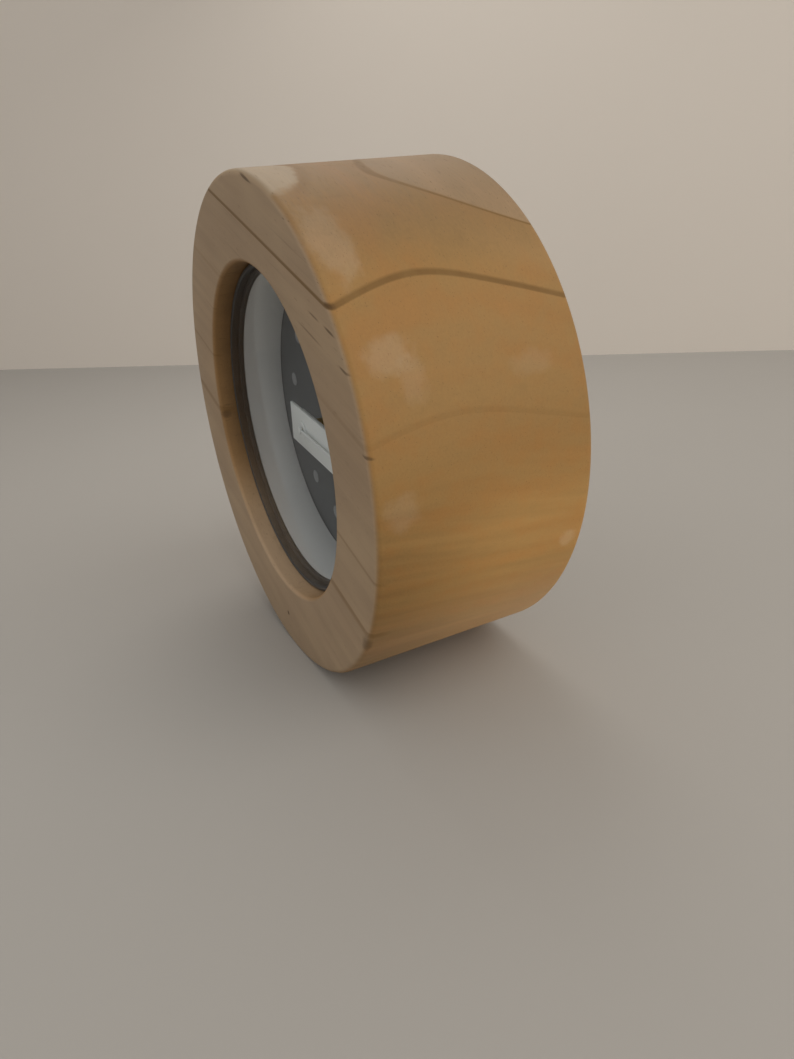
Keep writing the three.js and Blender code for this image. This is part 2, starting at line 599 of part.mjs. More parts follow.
// Bridge: a plate on the three pillars that holds the back ends of the arbors
const bridgePivots = [centre, third, intermediate, rotor];
const bridgeMiddle = {
  x: (third.x + Math.min(rotor.x, settingShaft.x)) / 2,
  z: (rotor.z + centre.z) / 2,
};
const reach = (at) => Math.hypot(at.x - bridgeMiddle.x, at.z - bridgeMiddle.z);
const bridgeRadius = Math.max(...[...bridgePivots, settingShaft].map(reach)) + PILLAR_STUB_RADIUS;
const bridgeArmWidth = 2 * PILLAR_RADIUS;
const bridgeArms = pillars.map((at) => block(reach(at), BRIDGE_THICKNESS, bridgeArmWidth, {
  x: (at.x + bridgeMiddle.x) / 2,
  y: bridgeFront + BRIDGE_THICKNESS / 2,
  z: (at.z + bridgeMiddle.z) / 2,
}, Math.atan2(at.z - bridgeMiddle.z, at.x - bridgeMiddle.x)));
const bridgeEnds = pillars.map((at) => (
  rod(PILLAR_STUB_RADIUS + WELL_WALL + BEARING_GAP, bridgeFront, bridgeBack, at)));
add('train_bridge', cut(
  join(
    rod(bridgeRadius, bridgeFront, bridgeBack, bridgeMiddle, RING_SEGMENTS / 2),
    ...bridgeArms,
    ...bridgeEnds,
  ),
  ...bridgePivots.map((at) => (
    rod(PIVOT_RADIUS + BEARING_GAP, bridgeFront - RUN_GAP, bridgeBack + RUN_GAP, at))),
  rod(SETTING_SHAFT_RADIUS + BEARING_GAP, bridgeFront - RUN_GAP, bridgeBack + RUN_GAP, settingShaft),
  ...pillars.map((at) => (
    rod(PILLAR_STUB_RADIUS + BEARING_GAP, bridgeFront - RUN_GAP, bridgeBack + RUN_GAP, at))),
), movementPlastic);

// Setting knob: its shaft runs through the cover to a pinion on the minute wheel
const knobFront = coverBack + SLIDE_FIT;
const knobBack = knobFront + KNOB_HEIGHT;
const knobPoints = Array.from({ length: 4 * KNOB_FLUTES }, (_, i) => {
  const angle = (i / (4 * KNOB_FLUTES)) * 2 * Math.PI;
  const radius = KNOB_RADIUS - KNOB_FLUTE_DEPTH * (0.5 - 0.5 * Math.cos(angle * KNOB_FLUTES));
  return new THREE.Vector2(radius * Math.cos(angle), radius * Math.sin(angle));
});
add('setting_knob', join(
  rod(SETTING_SHAFT_RADIUS, pivotFront, knobBack - KNOB_HEIGHT / 2, settingShaft),
  gear(SETTING_TEETH, MOTION_MODULE, motionLevel, WHEEL_THICKNESS, settingShaft, 0),
  sheet(new THREE.Shape(knobPoints), knobFront, KNOB_HEIGHT, settingShaft),
), blackPlastic);

// Hatch over the cell: two lugs lock under the cover, and a coin turns them to the notches
const hatchFront = coverFront - LUG_THICKNESS - 2 * SEAT_GAP;
const hatchSlotMiddle = coverBack - HATCH_SLOT_DEPTH / 2;
add('battery_hatch', cut(
  join(
    rod(HATCH_RADIUS, hatchFront, coverBack, cell, RING_SEGMENTS / 2),
    rod(HATCH_BOSS_RADIUS, cellBack + SLIDE_FIT, coverFront, cell),
    block(2 * (HATCH_RADIUS + LUG_REACH), LUG_THICKNESS, LUG_WIDTH,
      { x: cell.x, y: hatchFront + LUG_THICKNESS / 2, z: cell.z }),
  ),
  block(HATCH_RADIUS * 1.3, HATCH_SLOT_DEPTH + SEAT_GAP, HATCH_SLOT_WIDTH,
    { x: cell.x, y: hatchSlotMiddle + SEAT_GAP / 2, z: cell.z }),
), blackPlastic);

// Back cover, held by three sunk screws in the pillars
const coverMiddle = (coverFront + coverBack) / 2;
const throughCover = COVER_THICKNESS + 2 * RUN_GAP;
add('back_cover', cut(
  rod(insertRadius, coverFront, coverBack, centre, RING_SEGMENTS),
  rod(HATCH_RADIUS + SLIDE_FIT, coverFront - RUN_GAP, coverBack + RUN_GAP, cell, RING_SEGMENTS / 2),
  block(2 * (HATCH_RADIUS + LUG_REACH + SLIDE_FIT), throughCover, LUG_WIDTH + 2 * SLIDE_FIT,
    { x: cell.x, y: coverMiddle, z: cell.z }, radians(-HATCH_TURN)),
  rod(SETTING_SHAFT_RADIUS + SLIDE_FIT, coverFront - RUN_GAP, coverBack + RUN_GAP, settingShaft),
  ...pillars.map((at) => rod(screwHole, coverFront - RUN_GAP, coverBack + RUN_GAP, at)),
  ...pillars.map((at) => rod(SCREW_HEAD_RADIUS + SLIDE_FIT, headFront - SEAT_GAP, coverBack + RUN_GAP, at)),
), blackPlastic);
pillars.forEach((at, i) => add(`cover_screw_${i + 1}`, join(
  rod(SCREW_SHANK_RADIUS, screwTip, headFront + SCREW_HEAD_HEIGHT / 2, at, PIVOT_SEGMENTS),
  rod(SCREW_HEAD_RADIUS, headFront, coverBack, at),
), steel));

export default clock;
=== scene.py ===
import math

import bmesh
import bpy
from mathutils import Matrix, Vector


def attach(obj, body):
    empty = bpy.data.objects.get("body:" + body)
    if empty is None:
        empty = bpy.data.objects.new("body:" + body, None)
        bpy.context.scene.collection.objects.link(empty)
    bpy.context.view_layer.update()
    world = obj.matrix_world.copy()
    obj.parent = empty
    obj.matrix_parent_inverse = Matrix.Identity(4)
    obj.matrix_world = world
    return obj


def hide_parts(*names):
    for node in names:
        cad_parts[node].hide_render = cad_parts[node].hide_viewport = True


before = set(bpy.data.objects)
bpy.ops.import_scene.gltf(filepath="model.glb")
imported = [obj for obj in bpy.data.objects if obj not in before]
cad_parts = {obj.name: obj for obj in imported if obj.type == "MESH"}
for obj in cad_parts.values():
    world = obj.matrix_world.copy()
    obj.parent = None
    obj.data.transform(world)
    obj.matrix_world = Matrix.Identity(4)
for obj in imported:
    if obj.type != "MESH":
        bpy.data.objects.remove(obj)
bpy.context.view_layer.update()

bpy.context.scene.view_settings.view_transform = "Standard"

# Camera: it stands close to the clock on the right of the dial and looks down on the rim, turned a
# little on its own axis. Its place follows from the ring's round edges in the photograph.
MM = 0.001
SENSOR = 36
FOCAL_PIXELS = 804.2
IMAGE_HEIGHT = 1059
NEAREST_SHOWN = 5 * MM
EYE = Vector((154.426, -67.488, 92.565)) * MM
RIGHT = Vector((0.46002, 0.88378, -0.08549))
UP = Vector((-0.30417, 0.24731, 0.91995))
camera_data = bpy.data.cameras.new("photo_camera")
camera_data.sensor_width = SENSOR
camera_data.lens = SENSOR * FOCAL_PIXELS / IMAGE_HEIGHT
camera_data.clip_start = NEAREST_SHOWN
camera = bpy.data.objects.new("photo_camera", camera_data)
looking = Matrix((RIGHT, UP, RIGHT.cross(UP))).transposed().to_4x4()
camera.matrix_world = Matrix.Translation(EYE) @ looking
bpy.context.scene.collection.objects.link(camera)
bpy.context.scene.camera = camera


# Wooden ring: one block of pale, close-grained hardwood, turned outside and bored through, with its
# edges eased by sanding and a narrow flat planed on the rim to stand on. Oiled, which the end grain
# at both sides drinks up and turns to honey, while the long grain of the faces stays paler. The rim's
# honey against the paler faces is partly painted warm light on the rim.
RING_RADIUS = 50 * MM
RING_DEPTH = 42.7 * MM
BORE_RADIUS = 34 * MM
BASE_FLAT = 14 * MM
FRONT_EASE = 1.2 * MM
BACK_EASE = 1.5 * MM
BORE_EASE = 0.9 * MM
AXIS_HEIGHT = math.sqrt(RING_RADIUS**2 - (BASE_FLAT / 2) ** 2)
FRONT = -RING_DEPTH / 2
RING_STEPS = 320
SHARP_ANGLE = math.radians(35)
MERGED_BELOW = 1e-6
ON_HOOP_BELOW = 1e-5


def turned(outline, steps, closed=True, middle=(0, 0), shape=None):
    """A shape turned from (radius, depth) points on an axis at (x, z); y is the depth behind the face."""
    shape = bmesh.new() if shape is None else shape
    x, z = middle
    points = [shape.verts.new((x + radius, depth, z)) for radius, depth in outline]
    pairs = list(zip(points, points[1:]))
    if closed:
        pairs.append((points[-1], points[0]))
    edges = [shape.edges.new(pair) for pair in pairs]
    bmesh.ops.spin(shape, geom=points + edges, axis=(0, 1, 0), cent=(x, 0, z),
                   angle=2 * math.pi, steps=steps, use_merge=True)
    bmesh.ops.remove_doubles(shape, verts=shape.verts, dist=MERGED_BELOW)
    bmesh.ops.recalc_face_normals(shape, faces=shape.faces)
    return shape


def hoop(shape, radius, depth, middle=(0, 0)):
    """The edges of one round corner of a turned shape."""
    def on_hoop(vert):
        away = math.hypot(vert.co.x - middle[0], vert.co.z - middle[1])
        return abs(away - radius) < ON_HOOP_BELOW and abs(vert.co.y - depth) < ON_HOOP_BELOW
    return [edge for edge in shape.edges if all(on_hoop(vert) for vert in edge.verts)]


def ease(shape, edges, width, segments=3):
    """Rounds edges over as sanding or a mould does."""
    bmesh.ops.bevel(shape, geom=edges, offset=width, offset_type="OFFSET", segments=segments,
                    profile=0.5, affect="EDGES", material=-1, clamp_overlap=True)


def settle(shape, name, finish, body, slot, *nodes):
    """Puts a finished shape into the clock, with its finish, its body and the solids it stands for."""
    bmesh.ops.translate(shape, verts=shape.verts, vec=(0, FRONT, AXIS_HEIGHT))
    mesh = bpy.data.meshes.new(name)
    shape.to_mesh(mesh)
    shape.free()
    mesh.shade_smooth()
    mesh.set_sharp_from_angle(angle=SHARP_ANGLE)
    mesh.materials.append(finish)
    piece = bpy.data.objects.new(name, mesh)
    bpy.context.scene.collection.objects.link(piece)
    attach(piece, body)
    if nodes:
        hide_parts(*nodes)


class Flow:
    """A value that runs through a finish, so that patterns are written as sums."""

    def __init__(self, tree, socket=None):
        self.tree = tree
        self.socket = socket

    def node(self, kind, settings=None, inputs=None, output=0):
        made = self.tree.nodes.new(kind)
        for name, value in (settings or {}).items():
            setattr(made, name, value)
        for key, value in (inputs or {}).items():
            if isinstance(value, Flow):
                self.tree.links.new(value.socket, made.inputs[key])
            else:
                made.inputs[key].default_value = value
        return Flow(self.tree, made.outputs[output])

    def other(self, output):
        return Flow(self.tree, self.socket.node.outputs[output])

    def math(self, operation, *values):
        return self.node("ShaderNodeMath", {"operation": operation}, dict(enumerate(values)))

    def __add__(self, value):
        return self.math("ADD", self, value)

    def __sub__(self, value):
        return self.math("SUBTRACT", self, value)

    def __rsub__(self, value):
        return self.math("SUBTRACT", value, self)

    def __mul__(self, value):
        return self.math("MULTIPLY", self, value)

    def __truediv__(self, value):
        return self.math("DIVIDE", self, value)

    def __pow__(self, value):
        return self.math("POWER", self, value)

    def __abs__(self):
        return self.math("ABSOLUTE", self)

    __radd__ = __add__
    __rmul__ = __mul__

    def least(self, value):
        return self.math("MINIMUM", self, value)

    def most(self, value):
        return self.math("MAXIMUM", self, value)

    def ramp(self, low, high):
        """0 below low, 1 above high, and a soft step between; low may be the larger."""
        inputs = {"Value": self, "From Min": low, "From Max": high}
        return self.node("ShaderNodeMapRange", {"interpolation_type": "SMOOTHSTEP"}, inputs)

    def mix(self, none, full):
        """A colour between two others, this value being the share of the second."""
        inputs = {0: self, 6: none, 7: full}
        return self.node("ShaderNodeMix", {"data_type": "RGBA"}, inputs, output=2)

    def shaded(self, amount):
        """This colour made lighter or darker."""
        return self.node("ShaderNodeVectorMath", {"operation": "SCALE"}, {0: self, "Scale": amount})

    def scaled(self, *lengths, middle=(0, 0, 0)):
        """This place measured from a middle, in one unit or in a unit of its own along each direction."""
        sizes = [1 / length for length in lengths * (3 // len(lengths))]
        shift = [-at * size for at, size in zip(middle, sizes)]
        return self.node("ShaderNodeMapping", None, {"Vector": self, "Scale": sizes, "Location": shift})

    def length(self):
        return self.node("ShaderNodeVectorMath", {"operation": "LENGTH"}, {0: self}, output="Value")

    def noise(self, detail=2.0, roughness=0.5):
        """Cloudy change from 0 to 1 over this place."""
        inputs = {"Vector": self, "Scale": 1.0, "Detail": detail, "Roughness": roughness}
        return self.node("ShaderNodeTexNoise", None, inputs)

    def swing(self, amount):
        """How far a cloudy change lies above or below its middle, times an amount."""
        return (self - 0.5) * amount


def colour(red, green, blue):
    """A colour as a screen shows it, from 0 to 255, in the units that a finish takes."""
    shares = [value / 255 for value in (red, green, blue)]
    return [s / 12.92 if s <= 0.04045 else ((s + 0.055) / 1.055) ** 2.4 for s in shares] + [1]


def new_finish(name):
    """A finish with its place in millimetres behind the face and from the axis, and its shader."""
    finish = bpy.data.materials.new(name)
    finish.use_nodes = True
    start = Flow(finish.node_tree)
    place = start.node("ShaderNodeTexCoord", output="Object")
    place = place.scaled(MM, middle=(0, FRONT, AXIS_HEIGHT))
    return finish, place, finish.node_tree.nodes["Principled BSDF"]


def feed(shader, **inputs):
    """Sets or links sockets of a shader, named with _ for each space."""
    for name, value in inputs.items():
        socket = shader.inputs[name.replace("_", " ")]
        if isinstance(value, Flow):
            value.tree.links.new(value.socket, socket)
        else:
            socket.default_value = value


def relief(height, millimetres):
    """The surface's own small relief, from a height between 0 and 1."""
    return height.node("ShaderNodeBump", None,
                       {"Height": height, "Strength": 1.0, "Distance": millimetres * MM}, output="Normal")


GRAIN_TILT = math.radians(19)  # how far the grain runs down to the right on the face
LONG_GRAIN = colour(160, 136, 109)
PALE_GRAIN = colour(169, 145, 116)
# rim colours: the oiled end grain's honey, partly painted warm light on the rim
END_GRAIN_AND_WARM_LIGHT = colour(154, 119, 70)
WARMER_END_GRAIN_AND_WARM_LIGHT = colour(151, 111, 62)
BORE_GRAIN = colour(146, 109, 64)
PALE_MARK = colour(186, 168, 142)
LAYER_LINE = colour(110, 80, 38)
FLECK = colour(74, 55, 38)
WOOD_ROUGHNESS = 0.58
FIBRE_ROUGHNESS = 0.2
FLECK_ROUGHNESS = 0.2
WOOD_SHINE = 0.22
WOOD_RELIEF = 0.05
FIBRE_RELIEF = 0.5  # shares of the relief
STREAK_RELIEF = 0.3

# Radii between which the rim and the bore begin, in millimetres as all lengths in the wood are
RIM_BEGINS = (49.2, 49.95)
BORE_BEGINS = (34.9, 34.2)

# Sizes of the wood's patterns: along the grain, in depth and across
FIBRES = (16, 0.42, 0.42)
STREAKS = (60, 3.2, 2.4)
CLOUDS = (26, 15, 13)
PORES = (2.6, 0.2, 0.2)
HAIRLINES = (40, 3.0, 0.5)
WANDER = (60, 24, 30)
RAGGED_EDGE = (4, 3, 3)

# Parts of a cloudy change, from 0 to 1, between which a pattern comes to show
PORES_SHOW = (0.68, 0.76)
HAIRLINES_SHOW = (0.58, 0.8)
CLOUDS_SHOW = (0.35, 0.75)
WARMTH_SHOWS = (0.45, 0.8)
STREAK_WARMTH = 0.5
BAND_WARMTH = 0.7

# How strongly each pattern lightens and darkens the wood
FIBRE_SHADE = 0.22
STREAK_SHADE = 0.2
BAND_SHADE = 0.2
FINE_BAND_SHADE = 0.4
FINE_BANDS_BELOW = 1.2  # the fine bands are strongest in the lower part
HAIRLINE_SHADE = 0.2
HAIRLINES_LOST_ON_RIM = 0.16
PORE_SHADE = 0.4

# Lie of the growth layers, by height over the axis and depth behind the face
ARCH_DEPTH = 16.0  # where each layer stands highest
ARCH_ROUND = 12.0  # how far from there the layers still run level
ARCH_FALL = 0.28
LOW_FALL = 0.17  # below the middle the layers fall evenly towards the back
UPPER_PART = (8, 22)
CREST_RISE = 0.007  # how the uppermost layers curve up again on the left of the crest
CREST = (44, 48)
WANDER_RISE = 0.5
BANDS = (4.5, 4.5, 4.5)
FINE_BANDS = (4.5, 4.5, 2.6)
BAND_ALONG = 0.09  # how slowly a band changes along the grain and in depth
BAND_DEEP = 0.13

# Growth layers that show: height over the axis, softness below and above, darkness, first and last depth
GROWTH_LAYERS = [
    (50.17, 0.10, 0.16, 0.75, 17, 60),
    (42.4, 0.30, 0.60, 0.75, -9, 60),
    (26.1, 0.3, 0.9, 0.16, -9, 60),
    (-1.0, 0.4, 0.4, 0.35, -9, 1),
    (-13.8, 1.4, 0.4, 0.42, -9, 3),
]
LINE_CORE = 1.8  # how much of a layer's line is fully dark
LINE_FADE = 1  # how a line ends in depth
LINE_MOST = 0.9
LINE_EVEN = 0.7
LINE_STREAKED = 0.6

# Shares of the rim's honey tone, which is oiled end grain and partly painted warm light, and the heights
# at which it gives way to longer grain
CROSSES_FIBRES = (0.0, 0.5)
RIM_SHARE = 0.85
RIM_CROSS_SHARE = 0.15
LOW_RIM = (-2, -22)
LOW_RIM_SHARE = 0.4
BORE_WALL = (-36, -20)
BORE_SHARE = 0.85

# Where a change of tone starts at the face or goes on to the back, in depths behind the face
FROM_FACE = (-2, -1)
TO_BACK = (60, 50)

# Pale sapwood in the uppermost layers: levels, depths where it sets in, and share
SAPWOOD = [
    ((43, 48), FROM_FACE, 0.12),
    ((50.05, 50.5), (17, 21), 0.5),
]

# Painted light and shade on the wood, how much lighter or darker it is made: heights, depths where that
# sets in and ends, amount
# On the rim: painted shade on the crest and on the lower front, painted light on the lower rim towards the
# back
RIM_PAINTED_LIGHT_AND_SHADE = [
    ((41, 50), FROM_FACE, TO_BACK, -0.30),
    ((-6, -36), FROM_FACE, TO_BACK, 0.12),
    ((-6, -36), (8, 42), TO_BACK, 0.55),
    ((22, 0), FROM_FACE, TO_BACK, -0.22),
    ((22, 0), (-4, 30), TO_BACK, 0.74),
]
# In the bore: painted light low down and at the front, painted shade towards the insert on the upper sides
BORE_PAINTED_LIGHT_AND_SHADE = [
    ((-6, -36), FROM_FACE, TO_BACK, 0.20),
    ((-16, -32), FROM_FACE, (20, 12), 0.18),
    ((-34, -18), (0.6, 3.9), (20, 12), -0.36),
]

# Pale marks on the rim: degrees up from the right, depth, half length, half depth and strength
MARK_RADIUS = 49.5
PALE_MARKS = [
    (49, 4.5, 9.0, 4.0, 0.26),
    (25, 7.0, 3.4, 5.0, 0.21),
    (20, 10, 4.5, 2.6, 0.13),
    (19, 32, 2.4, 4.5, 0.10),
    (-3, 5, 3.5, 3.5, 0.15),
    (-20, 39, 2.2, 2.0, 0.18),
]
KNOT = (80, 0, 15, 9.5)  # a pale knot at the front of the crest, placed and sized in the same way
KNOT_STRENGTH = 0.7
KNOT_LINE = 0.4  # darkness of the line round the knot, and the depths where it sets in
KNOT_LINE_DEPTH = (2, 7)

# Edges of marks, knot and flecks, and how far they run in and out, in half sizes of each
MARK_EDGE = (1.15, 0.5)
MARK_RAGGED = 1.1
KNOT_EDGE = (1.0, 0.82)
KNOT_RAGGED = 0.2
KNOT_LINE_INSIDE = (0.88, 1.0)
KNOT_LINE_OUTSIDE = (1.22, 1.04)
FLECK_EDGE = (1.0, 0.3)
FLECK_RAGGED = 0.5

# Dark flecks: place along the grain and across it, depth, half length and half width, and strength
FLECK_HALF_DEPTH = 1.8
FLECKS = [
    (24.1, 36.7, 0, 2.8, 0.30, 0.50),
    (30.0, 36.8, 0, 2.8, 0.36, 0.68),
    (29.0, 40.4, 0, 1.8, 0.50, 0.60),
    (22.6, 33.1, 0, 6.5, 0.28, 0.40),
    (35.4, 33.0, 0, 2.2, 0.34, 0.60),
    (44.2, 22.8, 0, 1.8, 0.40, 0.60),
    (10.3, -41.0, 0, 0.75, 0.75, 0.85),
    (-6.0, 48.7, 0, 4.0, 0.40, 0.70),
    (47.6, -15.0, 0, 1.6, 3.6, 0.45),
    (-31.5, -12.8, 1.2, 2.0, 1.2, 0.50),
]


def wood_finish():
    finish, place, shader = new_finish("oiled_hardwood")
    grain = place.node("ShaderNodeMapping", None, {"Vector": place, "Rotation": (0, -GRAIN_TILT, 0)})
    along = grain.node("ShaderNodeSeparateXYZ", None, {0: grain})
    depth, height = along.other("Y"), along.other("Z")
    radius = (along * along + height * height) ** 0.5
    rim = radius.ramp(*RIM_BEGINS)
    bore = radius.ramp(*BORE_BEGINS)

    # fibres are long and thin, so that end grain shows them as dots
    fibres = grain.scaled(*FIBRES).noise(detail=3.0, roughness=0.6)
    streaks = grain.scaled(*STREAKS).noise(roughness=0.55)
    clouds = grain.scaled(*CLOUDS).noise()
    pores = grain.scaled(*PORES).noise(detail=1.0).ramp(*PORES_SHOW)
    hairlines = grain.scaled(*HAIRLINES).noise(roughness=0.6).ramp(*HAIRLINES_SHOW)
    ragged = grain.scaled(*RAGGED_EDGE).noise(detail=3.0, roughness=0.6).swing(MARK_RAGGED)

    # growth layers arch over the depth in the upper part of the block, and fall to the back in the lower
    wander = grain.scaled(*WANDER).noise(detail=1.0).swing(WANDER_RISE)
    away = depth - ARCH_DEPTH
    arch = ((away * away + ARCH_ROUND**2) ** 0.5 - ARCH_ROUND) * ARCH_FALL
    upper = height.ramp(*UPPER_PART)
    left = along.least(0.0)
    crest = left * left * CREST_RISE * height.ramp(*CREST)
    level = height + arch * upper + away * LOW_FALL * (1 - upper) + crest + wander
    lines = 0.0
    for at, below, above, darkness, first, last in GROWTH_LAYERS:
        line = ((level - (at - below)) / below).least(((at + above) - level) / above).most(0.0)
        begins = depth.ramp(first - LINE_FADE, first + LINE_FADE)
        ends = depth.ramp(last + 2 * LINE_FADE, last - LINE_FADE)
        lines = lines + (line * LINE_CORE).least(1.0) * begins * ends * darkness
    layers = grain.node("ShaderNodeCombineXYZ", None,
                        {"X": along * BAND_ALONG, "Y": depth * BAND_DEEP, "Z": level})
    bands = layers.scaled(*BANDS).noise(detail=1.0)
    fine_bands = layers.scaled(*FINE_BANDS).noise()

    # the oil darkens the end grain, on the rim and in the bore where they cross the fibres, and the rim's
    # honey is partly painted warm light
    sapwood = 0.0
    for levels, begins, share in SAPWOOD:
        sapwood = sapwood + level.ramp(*levels) * depth.ramp(*begins) * share
    crossing = (abs(along) / radius).ramp(*CROSSES_FIBRES)
    warmth = (streaks * STREAK_WARMTH + bands * BAND_WARMTH).ramp(*WARMTH_SHOWS)
    honey = warmth.mix(END_GRAIN_AND_WARM_LIGHT, WARMER_END_GRAIN_AND_WARM_LIGHT)
    honey = sapwood.mix(honey, PALE_GRAIN)
    honey = (height.ramp(*LOW_RIM) * LOW_RIM_SHARE).mix(honey, LONG_GRAIN)
    long_grain = clouds.ramp(*CLOUDS_SHOW).mix(LONG_GRAIN, PALE_GRAIN)
    # painted warm light in part: the whole rim takes the honey, its long grain too
    base = (rim * (crossing * RIM_CROSS_SHARE + RIM_SHARE)).mix(long_grain, honey)
    base = (bore * height.ramp(*BORE_WALL) * BORE_SHARE).mix(base, BORE_GRAIN)

    # pale marks lie here and there on the rim, and a pale knot with a dark line round it on the crest
    def apart_from(degrees, mark_depth, half_length, half_depth):
        turn = math.radians(degrees) + GRAIN_TILT
        middle = (MARK_RADIUS * math.cos(turn), mark_depth, MARK_RADIUS * math.sin(turn))
        return grain.scaled(half_length, half_depth, half_length, middle=middle).length()

    knot = apart_from(*KNOT) + ragged * KNOT_RAGGED
    knot_line = knot.ramp(*KNOT_LINE_INSIDE) * knot.ramp(*KNOT_LINE_OUTSIDE)
    lines = lines + knot_line * depth.ramp(*KNOT_LINE_DEPTH) * rim * KNOT_LINE
    pale = knot.ramp(*KNOT_EDGE) * KNOT_STRENGTH
    for *mark, strength in PALE_MARKS:
        pale = pale + (apart_from(*mark) + ragged).ramp(*MARK_EDGE) * strength
    base = (pale.least(1.0) * rim).mix(base, PALE_MARK)

    # painted light and shade lighten and darken the wood in places, and the grain patterns lighten and
    # darken it as well
    tone = 1.0
    for surface, painted_light_and_shade in ((rim, RIM_PAINTED_LIGHT_AND_SHADE), (bore, BORE_PAINTED_LIGHT_AND_SHADE)):
        for heights, begins, ends, lighter in painted_light_and_shade:
            spread = height.ramp(*heights) * depth.ramp(*begins) * depth.ramp(*ends)
            # painted light where the amount is above 0, painted shade where it is below 0
            tone = tone + surface * spread * lighter
    tone = tone + bands.swing(BAND_SHADE) + streaks.swing(STREAK_SHADE) + fibres.swing(FIBRE_SHADE)
    tone = tone + fine_bands.swing(FINE_BAND_SHADE) * rim * (FINE_BANDS_BELOW - upper)
    tone = tone - hairlines * (HAIRLINE_SHADE - rim * HAIRLINES_LOST_ON_RIM)
    lines = (lines * (LINE_EVEN + streaks * LINE_STREAKED)).least(LINE_MOST)
    base = lines.mix(base.shaded(tone), LAYER_LINE)

    dark = pores * PORE_SHADE
    for at, across, mark_depth, half_length, half_width, strength in FLECKS:
        halves = (half_length, FLECK_HALF_DEPTH, half_width)
        apart = grain.scaled(*halves, middle=(at, mark_depth, across)).length()
        dark = dark.most((apart + fibres.swing(FLECK_RAGGED)).ramp(*FLECK_EDGE) * strength)
    feed(shader,
         Base_Color=dark.mix(base, FLECK),
         Roughness=WOOD_ROUGHNESS + fibres.swing(FIBRE_ROUGHNESS) + dark * FLECK_ROUGHNESS,
         Normal=relief(fibres * FIBRE_RELIEF + streaks * STREAK_RELIEF - dark, WOOD_RELIEF),
         Specular_IOR_Level=WOOD_SHINE)
    return finish


ring = turned([(BORE_RADIUS, 0), (RING_RADIUS, 0), (RING_RADIUS, RING_DEPTH), (BORE_RADIUS, RING_DEPTH)],
              RING_STEPS)
ease(ring, hoop(ring, RING_RADIUS, 0), FRONT_EASE, segments=5)
ease(ring, hoop(ring, RING_RADIUS, RING_DEPTH), BACK_EASE, segments=6)
ease(ring, hoop(ring, BORE_RADIUS, 0) + hoop(ring, BORE_RADIUS, RING_DEPTH), BORE_EASE, segments=4)
whole = ring.verts[:] + ring.edges[:] + ring.faces[:]
bmesh.ops.bisect_plane(ring, geom=whole, plane_co=(0, 0, -AXIS_HEIGHT), plane_no=(0, 0, -1),
                       clear_outer=True)
bmesh.ops.holes_fill(ring, edges=[edge for edge in ring.edges if edge.is_boundary])
settle(ring, "turned_ring", wood_finish(), "clock_case", "wood", "wooden_body")


# Moulded pieces of the insert: a black bezel with a ledge, the short case behind it, and a rubber band
# that grips the bore. They are injection moulded with a fine spark-etched grain.
BEZEL_RADIUS = 33.7 * MM
SKIRT_RADIUS = 32.9 * MM
LEDGE_RADIUS = 32.0 * MM
INSERT_RADIUS = 32.6 * MM
LENS_FRONT = 3.9 * MM
LENS_BACK = 5.5 * MM
LEDGE_FRONT = 5.6 * MM
LEDGE_BACK = 6.5 * MM
BEZEL_BACK = 17.7 * MM
BEZEL_EDGE = 0.2 * MM
LEDGE_EDGE = 0.15 * MM
INSERT_STEPS = 192
MOULD_CLOUDS = 11  # millimetres across, as are the rubbed places
RUBBED_PLACES = 4
RUBBED_SHOW = (0.58, 0.8)
MOULD_SHINE = 0.4


def moulded_finish(name, tone, worn, roughness, grain_size=0.28, grain_height=0.012):
    """Moulded plastic or rubber: etched grain, faint cloudy shade and a few rubbed places."""
    finish, place, shader = new_finish(name)
    etched = place.scaled(grain_size).noise(roughness=0.6)
    cloudy = place.scaled(MOULD_CLOUDS).noise()
    rubbed = place.scaled(RUBBED_PLACES).noise(detail=3.0, roughness=0.65).ramp(*RUBBED_SHOW)
    share = rubbed * 0.5 + cloudy.swing(0.35) + etched.swing(0.3)
    feed(shader,
         Base_Color=share.most(0.0).mix(tone, worn),
         Roughness=roughness + etched.swing(0.2) - rubbed * 0.12,
         Normal=relief(etched, grain_height),
         Specular_IOR_Level=MOULD_SHINE)
    return finish


black_plastic = moulded_finish("black_moulded_plastic", tone=colour(66, 65, 64), worn=colour(86, 84, 82),
                               roughness=0.42)
bezel = turned([
    (BEZEL_RADIUS, LENS_FRONT), (BEZEL_RADIUS, BEZEL_BACK), (SKIRT_RADIUS, BEZEL_BACK),
    (SKIRT_RADIUS, LEDGE_BACK), (LEDGE_RADIUS, LEDGE_BACK), (LEDGE_RADIUS, LEDGE_FRONT),
    (SKIRT_RADIUS, LEDGE_FRONT), (SKIRT_RADIUS, LENS_FRONT),
], INSERT_STEPS)
ease(bezel, hoop(bezel, BEZEL_RADIUS, LENS_FRONT) + hoop(bezel, SKIRT_RADIUS, LENS_FRONT), BEZEL_EDGE)
ease(bezel, hoop(bezel, LEDGE_RADIUS, LEDGE_FRONT), LEDGE_EDGE)
settle(bezel, "bezel_ring", black_plastic, "clock_case", "black_plastic", "bezel")
rubber = moulded_finish("band_rubber", tone=colour(40, 39, 38), worn=colour(58, 56, 54),
                        roughness=0.8, grain_size=0.5, grain_height=0.03)
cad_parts["insert_case"].data.materials[0] = black_plastic
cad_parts["retaining_band"].data.materials[0] = rubber


# Lens: a flat disc of clear acrylic dropped into the bezel, polished on both sides. It lets the dial
# through and mirrors the bore at a low angle.
LENS_EDGE = 0.2 * MM
LENS_IOR = 1.15
LENS_TINT = (0.96, 0.97, 0.97, 1)
LENS_ROUGHNESS = 0.06
SMEARS = 9  # millimetres across
SMEAR_ROUGHNESS = 0.08


def rod(radius, front, back, steps, middle=(0, 0), shape=None):
    """A solid round disc or rod."""
    outline = [(0, front), (radius, front), (radius, back), (0, back)]
    return turned(outline, steps, closed=False, middle=middle, shape=shape)


